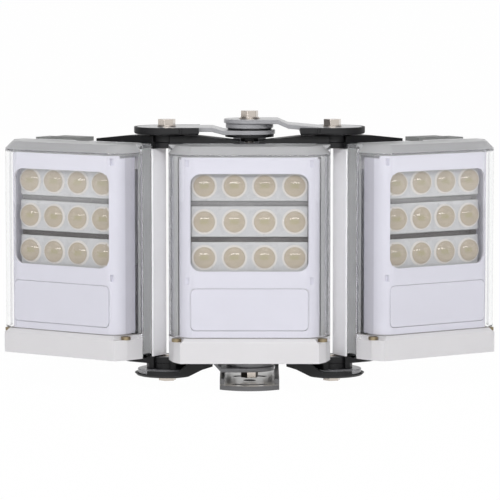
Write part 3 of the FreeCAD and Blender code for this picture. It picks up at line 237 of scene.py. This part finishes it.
def lensMaterial():
    # What a lens magnifies: a warm disc with a greener patch in the middle, a dark line of painted shade
    # where the dome meets its rim, and a pale ring.
    material = newMaterial("lensAmber", lensSettings["disc"], lensSettings["roughness"],
                           specular=lensSettings["specular"])
    spot = addNode(material, "ShaderNodeUVMap", uv_map="lensPlan").outputs["UV"]
    split = addNode(material, "ShaderNodeSeparateXYZ", {"Vector": spot})
    radius = addNode(material, "ShaderNodeVectorMath", {0: spot}, operation="LENGTH").outputs["Value"]
    rim = remap(material, radius, 0.0, 1.0, *around(lensSettings["edge"], lensSettings["edgeSoft"]))
    across = calculate(material, "ABSOLUTE", split.outputs["X"], 0.0)
    along = calculate(material, "ABSOLUTE", split.outputs["Y"], 0.0)
    soft = lensSettings["patchSoft"]
    wide = remap(material, across, 1.0, 0.0, *around(lensSettings["patchWide"], soft))
    tall = remap(material, along, 1.0, 0.0, *around(lensSettings["patchTall"], soft))
    patch = calculate(material, "MULTIPLY", wide, tall)
    grain = noise(material, objectCoords(material, lensSettings["stretch"]), lensSettings["grainScale"])
    warm = twoShades(material, grain, lensSettings["disc"], lensSettings["darkest"], lensSettings["palest"])
    patched = mixColours(material, patch, warm, lensSettings["centre"])
    # painted shade: a dark line on the disc where the dome meets its rim
    beyond = calculate(material, "SUBTRACT", radius, lensSettings["edge"])
    away = calculate(material, "ABSOLUTE", beyond, 0.0)
    line = remap(material, away, lensSettings["shadeLineStrength"], 0.0, 0.0, lensSettings["shadeLineWidth"])
    shadeLined = mixColours(material, line, patched, lensSettings["line"])
    plug(material, mixColours(material, rim, shadeLined, lensSettings["ring"]), "Base Color")
    return material


clearSettings = {"ior": 1.49, "shadow": (0.95, 0.95, 0.955), "grainScale": 60.0, "grainDetail": 2.0,
                 "dull": 0.9, "bright": 1.1}
clearFinishes = {
    "lensClear": {"colour": (0.97, 0.955, 0.93), "roughness": 0.02},
    "clearCover": {"colour": (0.96, 0.965, 0.97), "roughness": 0.01},
    "frostedTop": {"colour": (0.52, 0.52, 0.53), "roughness": 0.32, "solid": 0.65},
    # the dark lip at the cover's foot is painted shade where the cover meets the end band
    "coverLipShade": {"colour": (0.22, 0.21, 0.20), "roughness": 0.32, "solid": 0.6},
    "tintedSide": {"colour": (0.84, 0.84, 0.85), "roughness": 0.01},
}


def clearPlastic(name, colour, roughness, solid=0.0):
    # Full refraction for what the eye sees, and straight-through shadows so that the inside stays lit.
    material = newMaterial(name, colour, roughness)
    shader = shaderOf(material)
    shader.inputs["Transmission Weight"].default_value = 1.0 - solid
    shader.inputs["IOR"].default_value = clearSettings["ior"]
    clear = addNode(material, "ShaderNodeBsdfTransparent", {"Color": (*clearSettings["shadow"], 1.0)})
    path = addNode(material, "ShaderNodeLightPath")
    either = calculate(material, "MAXIMUM", path.outputs["Is Shadow Ray"], path.outputs["Is Diffuse Ray"])
    blendSurface(material, either, clear)
    grain = noise(material, objectCoords(material), clearSettings["grainScale"],
                  clearSettings["grainDetail"])
    gloss = remap(material, grain, roughness * clearSettings["dull"], roughness * clearSettings["bright"])
    plug(material, gloss, "Roughness")
    return material


materials["boardLacquer"] = boardMaterial()
materials["lensAmber"] = lensMaterial()
for name, finish in clearFinishes.items():
    materials[name] = clearPlastic(name, **finish)
print("materials made:", len(materials))

nodeFinish = {
    "housing": "powderWhite", "seal_frame": "sealGrey", "fascia": "mouldedWhite",
    "lower_plate": "mouldedWhite", "led_board": "boardLacquer", "driver": "boardGreen",
    "end_band": "bandWhite", "band_screws": "brass", "cable_gland": "blackNylon", "bracket": "blackCoat",
    "arm": "armGrey", "cap": "blackNylon", "bolts": "stainless", "pan_nuts": "blackCoat",
    "nuts": "stainless", "spacer": "blackNylon", "washer": "blackNylon", "yoke": "armGrey",
    "foot": "footGrey",
}


def settingFor(node, settings):
    # The setting of the first ending that the node's name has, or None.
    return next((value for ending, value in settings.items() if node.endswith(ending)), None)


# Panels: a side panel's points are worked out on the middle panel and turned about their hinge.

hinge = {"offset": 0.0697, "swing": math.radians(33.0)}
panelTurns = {"left": -1.0, "centre": 0.0, "right": 1.0}


def panelPlace(points, panel):
    # Points of the middle panel, moved one hinge offset outwards and turned about that hinge line.
    side = panelTurns[panel]
    turn = hinge["swing"] * side
    x = points[..., 0] + side * hinge["offset"]
    y = points[..., 1]
    return np.stack([side * hinge["offset"] + x * math.cos(turn) - y * math.sin(turn),
                     x * math.sin(turn) + y * math.cos(turn), points[..., 2]], axis=-1)


def panelBack(points, panel):
    # The same turn and move undone.
    side = panelTurns[panel]
    turn = -hinge["swing"] * side
    x = points[..., 0] - side * hinge["offset"]
    y = points[..., 1]
    return np.stack([x * math.cos(turn) - y * math.sin(turn) - side * hinge["offset"],
                     x * math.sin(turn) + y * math.cos(turn), points[..., 2]], axis=-1)


# A refined copy of a CAD node: welded, flat faces joined, edges rounded and curves shaded smooth.

edgeSettings = {
    "housing": 0.0006, "fascia": 0.0005, "lower_plate": 0.0003, "end_band": 0.0006,
    "arm": 0.0005, "cap": 0.0006, "bracket": 0.0005, "bolts": 0.0003, "nuts": 0.0003, "yoke": 0.0007,
    "foot": 0.0013, "cable_gland": 0.0004, "spacer": 0.0004, "washer": 0.0003,
}
meshSettings = {"weld": 2e-6, "flat": math.radians(0.6), "sharp": math.radians(32.0), "edgeSegments": 2}
housingPads = {"low": 0.0258, "high": 0.2062}  # faces beyond these heights, at the housing's top and bottom ends, are a darker grey
footFloor = {"half": 0.022, "up": 0.9}  # the floor between the foot's walls is painted pale: a painted reflection of the bright background it mirrors
fasciaSkirt = {"limit": 0.0515, "drop": 0.0031}  # the mask's lower edge reaches down to the end band


def softenEdges(piece, width):
    edges = piece.modifiers.new("softEdges", "BEVEL")
    edges.width = width
    edges.segments = meshSettings["edgeSegments"]
    edges.limit_method = "ANGLE"
    edges.angle_limit = meshSettings["sharp"]
    edges.use_clamp_overlap = True
    weights = piece.modifiers.new("flatNormals", "WEIGHTED_NORMAL")
    weights.keep_sharp = True


def addPiece(name, mesh, body):
    piece = bpy.data.objects.new(name, mesh)
    bpy.context.scene.collection.objects.link(piece)
    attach(piece, body)
    return piece


# moves: where a bend is along the arm, and where it goes
armBends = {
    "upper_left_arm": {"moves": {0.029: 0.0215, 0.037: 0.0315}},
    "upper_right_arm": {"moves": {0.025: 0.0235, 0.036: 0.0325}, "lift": 0.0027, "flat": 0.0615},
}
armReach = {"bend": 2e-4, "cut": 1e-7, "start": 1e-5}


def bendArm(work, moves, lift=0.0, flat=0.0):
    # Slides the joggle's bends along the arm, then slopes the stretch from the joggle to the bolt's seat.
    for vertex in work.verts:
        for place, target in moves.items():
            if abs(abs(vertex.co.x) - place) < armReach["bend"]:
                vertex.co.x = math.copysign(target, vertex.co.x)
    if lift:
        every = work.verts[:] + work.edges[:] + work.faces[:]
        bmesh.ops.bisect_plane(work, geom=every, dist=armReach["cut"], plane_co=(flat, 0.0, 0.0),
                               plane_no=(1.0, 0.0, 0.0))
        start = max(moves.values())
        for vertex in work.verts:
            if start - armReach["start"] < vertex.co.x < flat:
                vertex.co.z += lift * (flat - vertex.co.x) / (flat - start)


bandCorner = {"half": 0.0675, "front": -0.060, "radius": 0.011, "wide": 0.010, "deep": 0.024, "power": 1.6,
              "from": 0.050, "least": 1e-4}


def taperBand(work, panel):
    # Narrows the band towards its front: the side leaves the panel's width as depth to the power 1.6.
    points = panelBack(np.array([vertex.co for vertex in work.verts]), panel)
    half, radius, front = bandCorner["half"], bandCorner["radius"], bandCorner["front"]
    reach = np.clip((front + bandCorner["deep"] - points[:, 1]) / bandCorner["deep"], 0.0, 1.0)
    target = half - bandCorner["wide"] * reach ** bandCorner["power"]
    into = np.clip(front + radius - points[:, 1], 0.0, radius)
    present = half - radius + np.sqrt(np.maximum(radius ** 2 - into ** 2, 0.0))
    width = np.abs(points[:, 0])
    span = np.maximum(present - bandCorner["from"], bandCorner["least"])
    share = np.clip((width - bandCorner["from"]) / span, 0.0, 1.0)
    points[:, 0] = np.sign(points[:, 0]) * (width - np.maximum(present - target, 0.0) * share)
    for vertex, place in zip(work.verts, panelPlace(points, panel)):
        vertex.co = place


# the underside's line passes "level" at "place" and rises towards the middle of the object
capBend = {"tail": 0.0365, "place": 0.036, "level": 0.0204, "slope": 0.15, "reach": 0.0004, "drop": 0.0019,
           "long": 0.02, "straight": 1e-4, "angle": math.radians(8.0), "down": -0.5, "offset": 0.0045,
           "steps": 6}


def isCapBend(edge):
    # A long edge across the cap, between two faces that look down.
    return (len(edge.link_faces) == 2 and edge.calc_length() > capBend["long"]
            and abs(edge.verts[0].co.x - edge.verts[1].co.x) < capBend["straight"]
            and edge.calc_face_angle() > capBend["angle"]
            and all(face.normal.z < capBend["down"] for face in edge.link_faces))


def roundCap(work):
    # Lowers the tail of the cap's underside, then rounds the two long bends across it.
    for vertex in work.verts:
        away = abs(vertex.co.x)
        line = capBend["level"] + capBend["slope"] * (capBend["place"] - away)
        if away < capBend["tail"] and vertex.co.z < line + capBend["reach"]:
            vertex.co.z -= capBend["drop"]
    work.normal_update()
    bends = [edge for edge in work.edges if isCapBend(edge)]
    bmesh.ops.bevel(work, geom=bends, offset=capBend["offset"], segments=capBend["steps"], profile=0.5,
                    affect="EDGES", clamp_overlap=False)


def refine(node):
    mesh = frame["nodes"][node].data.copy()
    mesh.name = node + "Mesh"
    work = bmesh.new()
    work.from_mesh(mesh)
    bmesh.ops.remove_doubles(work, verts=work.verts, dist=meshSettings["weld"])
    bmesh.ops.dissolve_limit(work, angle_limit=meshSettings["flat"], verts=work.verts, edges=work.edges)
    if node.endswith("_end_band"):
        taperBand(work, node.removesuffix("_end_band"))
    if node in armBends:
        bendArm(work, **armBends[node])
    if node in ("lower_left_cap", "lower_right_cap"):
        roundCap(work)
    if node.endswith("_fascia"):
        skirt = [vertex for vertex in work.verts if vertex.co.z < fasciaSkirt["limit"]]
        bmesh.ops.translate(work, verts=skirt, vec=(0.0, 0.0, -fasciaSkirt["drop"]))
    work.to_mesh(mesh)
    work.free()
    mesh.shade_smooth()
    mesh.set_sharp_from_angle(angle=meshSettings["sharp"])
    mesh.materials.clear()
    mesh.materials.append(materials[settingFor(node, nodeFinish)])
    if node.endswith("_housing"):
        mesh.materials.append(materials["padGrey"])
        for face in mesh.polygons:
            level = face.center.z
            face.material_index = int(level > housingPads["high"] or level < housingPads["low"])
    # the floor between the foot's walls takes the pale painted reflection
    if node == "foot":
        mesh.materials.append(materials["footPaintedReflection"])
        for face in mesh.polygons:
            within = abs(face.center.x) < footFloor["half"]
            face.material_index = int(face.normal.z > footFloor["up"] and within)
    piece = addPiece(node + "Finish", mesh, frameBody[node])
    width = settingFor(node, edgeSettings)
    if width:
        softenEdges(piece, width)
    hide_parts(node)


refinedNodes = [node for node in frame["nodes"] if not node.endswith(("_cover", "_lens_strips"))]
for node in refinedNodes:
    refine(node)
print("nodes refined:", len(refinedNodes))


# Meshes of new pieces.

def buildMesh(name, points, faces, finishNames, faceFinish=None):
    mesh = bpy.data.meshes.new(name)
    mesh.from_pydata(points.reshape(-1, 3).tolist(), [], faces)
    for finish in finishNames:
        mesh.materials.append(materials[finish])
    if faceFinish is not None:
        mesh.polygons.foreach_set("material_index", np.asarray(faceFinish, dtype=np.int32))
    work = bmesh.new()
    work.from_mesh(mesh)
    bmesh.ops.recalc_face_normals(work, faces=work.faces)
    work.to_mesh(mesh)
    work.free()
    mesh.shade_smooth()
    return mesh


def gridFaces(rows, columns, start=0, wrapped=False):
    # Quads between each pair of neighbouring rows of a grid of points.
    spans = columns if wrapped else columns - 1
    row, column = np.meshgrid(np.arange(rows - 1), np.arange(spans), indexing="ij")
    after = (column + 1) % columns
    quads = np.stack([row * columns + column, row * columns + after, (row + 1) * columns + after,
                      (row + 1) * columns + column], axis=-1)
    return (quads.reshape(-1, 4) + start).tolist()


# Cover: a thin clear box with rounded front corners, a bevelled top and a square flange behind it.

coverLow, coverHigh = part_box("centre_cover")
cover = {
    "half": coverHigh[0], "front": coverLow[1], "boxRear": coverLow[1] + 0.027, "flangeRear": coverHigh[1],
    "floor": coverLow[2], "top": coverHigh[2], "low": coverLow[2] + 0.021, "wall": 0.003, "bevel": 0.0065,
    "innerBevel": 0.0052, "cornerRadius": 0.0248, "cornerDepth": 0.024, "arcSteps": 26, "seam": 0.00003,
    "edge": 0.0006, "lip": 0.0009, "tintSteps": 13, "sharp": math.radians(8.0),
    "frostedRing": (8, 10),  # the flange's upper outer face and the front of its top edge
}
coverFinishes = ("clearCover", "frostedTop", "coverLipShade", "tintedSide")
clearFace, frostedFace, shadedLipFace, tintedFace = range(len(coverFinishes))


def coverOutline(inset):
    # Plan of the box: straight sides, then arcs that meet the flat front at a slight crease.
    radius = cover["cornerRadius"] - inset
    centreX = cover["half"] - cover["cornerRadius"]
    centreY = cover["front"] + cover["cornerDepth"]
    start = math.asin(-(cover["cornerDepth"] - inset) / radius)
    angle = np.linspace(start, 0.0, cover["arcSteps"])
    arcX = centreX + radius * np.cos(angle)
    arcY = centreY + radius * np.sin(angle)
    rear = cover["boxRear"] - cover["seam"]
    rightX = np.concatenate([arcX, [cover["half"] - inset]])
    rightY = np.concatenate([arcY, [rear]])
    return np.concatenate([-rightX[::-1], rightX]), np.concatenate([rightY[::-1], rightY])


def coverBox():
    # Eight outlines stacked: four for the outer skin and four, one wall further in, for the inner skin.
    wall, bevel, inner = cover["wall"], cover["bevel"], cover["innerBevel"]
    levels = [(0.0, cover["low"]), (0.0, cover["low"] + cover["lip"]), (0.0, cover["top"] - bevel),
              (bevel, cover["top"]), (wall, cover["low"]), (wall, cover["low"] + cover["lip"]),
              (wall, cover["top"] - wall - inner), (wall + inner, cover["top"] - wall)]
    rings = []
    for inset, level in levels:
        x, y = coverOutline(inset)
        rings.append(np.stack([x, y, np.full_like(x, level)], axis=-1))
    points = np.stack(rings)
    count = points.shape[1]
    last = count - 1
    # the skins: the outer one has a lip at its foot, dark with painted shade where the cover meets the end
    # band, and a frosted bevel, and the sides have tinted corners
    faces = gridFaces(4, count) + gridFaces(4, count, 4 * count)
    tint = cover["tintSteps"]
    side = [tintedFace if item < tint or item >= last - tint else clearFace for item in range(last)]
    finish = [shadedLipFace] * last + side + [frostedFace] * last + side * 3
    # the tops of both skins
    faces += [list(range(3 * count, 4 * count)), list(range(7 * count, 8 * count))]
    finish += [frostedFace, clearFace]
    # the lower rim between the skins, dark with the lip's painted shade
    rim = gridFaces(2, count)
    faces += [[item if item < count else item + 3 * count for item in quad] for quad in rim]
    finish += [shadedLipFace] * len(rim)
    # the rear edge between the skins: up one side, across the top and down the other side
    path = [0, count, 2 * count, 3 * count, 3 * count + last, 2 * count + last, count + last, last]
    for first, second in zip(path[:-1], path[1:]):
        faces.append([first, second, second + 4 * count, first + 4 * count])
        finish.append(clearFace)
    return points.reshape(-1, 3), faces, finish


def blockRing(outer, inner, front, rear):
    # A rectangular ring: outer and inner rectangles (x0, x1, z0, z1) between two depths.
    corners = []
    for x0, x1, z0, z1 in (outer, inner):
        for y in (front, rear):
            corners += [(x0, y, z0), (x1, y, z0), (x1, y, z1), (x0, y, z1)]
    faces = []
    for item in range(4):
        after = (item + 1) % 4
        faces += [[item, after, after + 4, item + 4], [item + 8, item + 12, after + 12, after + 8],
                  [item, item + 8, after + 8, after], [item + 4, after + 4, after + 12, item + 12]]
    return np.array(corners), faces


def plateBlock(x0, x1, y0, y1, z0, z1):
    # Eight corners and six sides of a plate whose edges are rounded later.
    corners = [(x, y, z) for y in (y0, y1) for x, z in ((x0, z0), (x1, z0), (x1, z1), (x0, z1))]
    sides = [[0, 1, 2, 3], [7, 6, 5, 4]]
    sides += [[item, item + 4, (item + 1) % 4 + 4, (item + 1) % 4] for item in range(4)]
    return np.array(corners), sides


def makeCover(panel):
    node = panel + "_cover"
    half, wall = cover["half"], cover["wall"]
    boxPoints, boxFaces, finish = coverBox()
    outer = (-half, half, cover["floor"], cover["top"])
    inner = (-half + wall, half - wall, cover["floor"] + wall, cover["top"] - wall)
    flangePoints, flangeFaces = blockRing(outer, inner, cover["boxRear"], cover["flangeRear"])
    points = np.concatenate([boxPoints, flangePoints])
    faces = boxFaces + [[item + len(boxPoints) for item in face] for face in flangeFaces]
    finish += [clearFace] * len(flangeFaces)
    for item in cover["frostedRing"]:
        finish[len(boxFaces) + item] = frostedFace
    mesh = buildMesh(node + "Shell", panelPlace(points, panel), faces, coverFinishes, finish)
    mesh.set_sharp_from_angle(angle=cover["sharp"])
    piece = addPiece(panel + "CoverShell", mesh, panelBodies[panel])
    softenEdges(piece, cover["edge"])
    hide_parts(node)


# Lenses: three moulded strips for each panel, with a row of tall clear domes over warm discs on each.

stripLow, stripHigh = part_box("centre_lens_strips")
lens = {
    "columns": 4, "rows": 3, "pitchX": 0.025, "pitchZ": 0.0298, "firstRow": 0.1134, "radius": 0.0107,
    "rings": 14, "segments": 36, "tipAngle": 0.02, "sharp": math.radians(60.0), "eyeRadius": 0.0104,
    "eyeRise": 0.0003, "tip": stripLow[1], "stripRear": stripHigh[1], "halfWidth": 0.0485,
    "stripHeight": 0.0256, "stripThick": 0.0022, "stripEdge": 0.0009, "sink": 0.0006,
}


def domePoints(centres, radius, rise):
    # Each dome is half an ellipsoid: height = rise * sqrt(1 - (r / R) ^ 2), with a short foot below it.
    turn = np.linspace(lens["tipAngle"], math.pi / 2.0, lens["rings"])
    share = np.append(np.sin(turn), 1.0)
    height = np.append(rise * np.cos(turn), -lens["sink"])
    angle = np.linspace(0.0, 2.0 * math.pi, lens["segments"], endpoint=False)
    planX = share[:, None] * np.cos(angle)[None, :]
    planZ = share[:, None] * np.sin(angle)[None, :]
    x = centres[:, None, None, 0] + radius * planX
    z = centres[:, None, None, 1] + radius * planZ
    y = np.broadcast_to(lens["stripRear"] - lens["stripThick"] - height[None, :, None], x.shape)
    plan = np.broadcast_to(np.stack([planX, planZ], axis=-1), (len(centres), *planX.shape, 2))
    return np.stack([x, y, z], axis=-1), plan


def domeMesh(name, panel, centres, radius, rise, finish):
    # All domes of a panel in one mesh, with each point's place in its dome's plan as the UV map.
    points, plan = domePoints(centres, radius, rise)
    rings, segments = points.shape[1:3]
    faces = []
    for start in range(0, len(centres) * rings * segments, rings * segments):
        last = start + (rings - 1) * segments
        faces += gridFaces(rings, segments, start, wrapped=True)
        faces += [list(range(start, start + segments)), list(range(last, last + segments))]
    mesh = buildMesh(name, panelPlace(points, panel), faces, (finish,))
    layer = mesh.uv_layers.new(name="lensPlan")
    vertex = np.empty(len(mesh.loops), dtype=np.int32)
    mesh.loops.foreach_get("vertex_index", vertex)
    layer.data.foreach_set("uv", plan.reshape(-1, 2)[vertex].ravel().astype(np.float32))
    mesh.set_sharp_from_angle(angle=lens["sharp"])
    return mesh


def makeLenses(panel):
    node = panel + "_lens_strips"
    columns = (np.arange(lens["columns"]) - (lens["columns"] - 1) / 2.0) * lens["pitchX"]
    rows = lens["firstRow"] + np.arange(lens["rows"]) * lens["pitchZ"]
    centres = np.stack(np.meshgrid(columns, rows, indexing="ij"), axis=-1).reshape(-1, 2)
    rise = lens["stripRear"] - lens["stripThick"] - lens["tip"]
    domes = domeMesh(node + "Domes", panel, centres, lens["radius"], rise, "lensClear")
    addPiece(panel + "LensDomes", domes, panelBodies[panel])
    eyes = domeMesh(node + "Eyes", panel, centres, lens["eyeRadius"], lens["eyeRise"], "lensAmber")
    addPiece(panel + "LensEyes", eyes, panelBodies[panel])

    half, tall = lens["halfWidth"], lens["stripHeight"] / 2.0
    plates = []
    plateFaces = []
    for level in rows:
        points, sides = plateBlock(-half, half, lens["stripRear"] - lens["stripThick"], lens["stripRear"],
                                   level - tall, level + tall)
        plateFaces += [[item + len(points) * len(plates) for item in face] for face in sides]
        plates.append(points)
    mesh = buildMesh(node + "Plates", panelPlace(np.concatenate(plates), panel), plateFaces, ("stripGrey",))
    mesh.set_sharp_from_angle(angle=meshSettings["sharp"])
    platePiece = addPiece(panel + "LensStrips", mesh, panelBodies[panel])
    softenEdges(platePiece, lens["stripEdge"])
    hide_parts(node)


for panel in panelBodies:
    makeCover(panel)
    makeLenses(panel)
    print("panel dressed:", panel)


# Studio: a pale floor, white surroundings for what the camera and the glass see, and soft boxes.

studio = {
    "floorSize": 60.0, "floorLevel": -0.0002, "floorColour": (0.86, 0.86, 0.86), "floorRoughness": 0.9,
    "floorGlow": 0.99, "white": (1.0, 1.0, 1.0, 1.0), "ambient": 0.36, "seen": 1.0, "glossySide": 0.08,
    "clearSide": 0.74, "sideStart": 0.50, "sideEnd": 0.80, "aim": 0.12,
}
softBoxes = [
    {"name": "overheadBox", "azimuth": 0.0, "elevation": 62.0, "distance": 1.7, "width": 1.6, "height": 1.0,
     "power": 8.0},
    {"name": "frontBar", "azimuth": 0.0, "elevation": 24.0, "distance": 2.2, "width": 2.9, "height": 0.34,
     "power": 29.0},
]
# the mirror-like bolts show the studio's sides, not these two lamps
softBoxes += [{"name": "fill", "azimuth": azimuth, "elevation": 6.0, "distance": 2.0, "width": 0.9,
               "height": 1.4, "power": 5.0, "mirrored": False} for azimuth in (-74.0, 74.0)]


def studioFloor():
    half = studio["floorSize"] / 2.0
    mesh = bpy.data.meshes.new("floorMesh")
    corners = [(-half, -half, 0.0), (half, -half, 0.0), (half, half, 0.0), (-half, half, 0.0)]
    mesh.from_pydata(corners, [], [(0, 1, 2, 3)])
    floor = bpy.data.objects.new("floor", mesh)
    bpy.context.scene.collection.objects.link(floor)
    floor.location.z = studio["floorLevel"]
    material = newMaterial("floorPaper", studio["floorColour"], studio["floorRoughness"], specular=0.0)
    path = addNode(material, "ShaderNodeLightPath").outputs
    seen = calculate(material, "MAXIMUM", path["Is Camera Ray"], path["Is Transmission Ray"])
    either = calculate(material, "MAXIMUM", seen, path["Is Glossy Ray"])
    part = calculate(material, "MULTIPLY", either, studio["floorGlow"])
    glow = addNode(material, "ShaderNodeEmission", {"Color": studio["white"], "Strength": 1.0})
    blendSurface(material, part, glow)
    mesh.materials.append(material)


def studioWorld():
    # White behind and before the object. Mirrors and clear plastic also see greyer studio sides.
    world = bpy.data.worlds.new("studioWorld")
    world.use_nodes = True
    bpy.context.scene.world = world
    world.node_tree.nodes.clear()
    white = studio["white"]
    path = addNode(world, "ShaderNodeLightPath")
    coords = addNode(world, "ShaderNodeTexCoord")
    split = addNode(world, "ShaderNodeSeparateXYZ", {"Vector": coords.outputs["Generated"]})
    forward = calculate(world, "ABSOLUTE", split.outputs["Y"], 0.0)
    base = addNode(world, "ShaderNodeMix", {0: path.outputs["Is Transmission Ray"], 2: studio["glossySide"],
                                            3: studio["clearSide"]}).outputs[0]
    level = remap(world, forward, base, studio["seen"], studio["sideStart"], studio["sideEnd"])
    bent = calculate(world, "MAXIMUM", path.outputs["Is Transmission Ray"], path.outputs["Is Glossy Ray"])
    light = addNode(world, "ShaderNodeBackground", {"Color": white, "Strength": studio["ambient"]})
    sides = addNode(world, "ShaderNodeBackground", {"Color": white, "Strength": level})
    backdrop = addNode(world, "ShaderNodeBackground", {"Color": white, "Strength": studio["seen"]})
    first = addNode(world, "ShaderNodeMixShader", {0: bent, 1: light.outputs[0], 2: sides.outputs[0]})
    second = addNode(world, "ShaderNodeMixShader",
                     {0: path.outputs["Is Camera Ray"], 1: first.outputs[0], 2: backdrop.outputs[0]})
    addNode(world, "ShaderNodeOutputWorld", {"Surface": second.outputs[0]})


def softBox(name, azimuth, elevation, distance, width, height, power, mirrored=True):
    # A rectangular lamp on a sphere round the object, turned to its middle.
    data = bpy.data.lights.new(name, "AREA")
    data.shape = "RECTANGLE"
    data.size = width
    data.size_y = height
    data.energy = power
    lamp = bpy.data.objects.new(name, data)
    bpy.context.scene.collection.objects.link(lamp)
    turn, rise = math.radians(azimuth), math.radians(elevation)
    lamp.location = (distance * math.sin(turn) * math.cos(rise),
                     -distance * math.cos(turn) * math.cos(rise),
                     studio["aim"] + distance * math.sin(rise))
    lamp.rotation_euler = (math.pi / 2 - rise, 0.0, turn)
    lamp.visible_glossy = mirrored


studioFloor()
studioWorld()
for box in softBoxes:
    softBox(**box)

cameraSettings = {"lens": 219.2, "sensor": 36.0, "place": (0.0004, -2.561, 0.3666), "pitch": 5.61,
                  "far": 100.0}
cameraData = bpy.data.cameras.new("camera")
cameraData.lens = cameraSettings["lens"]
cameraData.sensor_width = cameraSettings["sensor"]
cameraData.clip_end = cameraSettings["far"]
camera = bpy.data.objects.new("camera", cameraData)
camera.location = cameraSettings["place"]
camera.rotation_euler = (math.radians(90.0 - cameraSettings["pitch"]), 0.0, 0.0)
bpy.context.scene.collection.objects.link(camera)
bpy.context.scene.camera = camera
bpy.context.scene.view_settings.view_transform = "Standard"
print("studio ready")
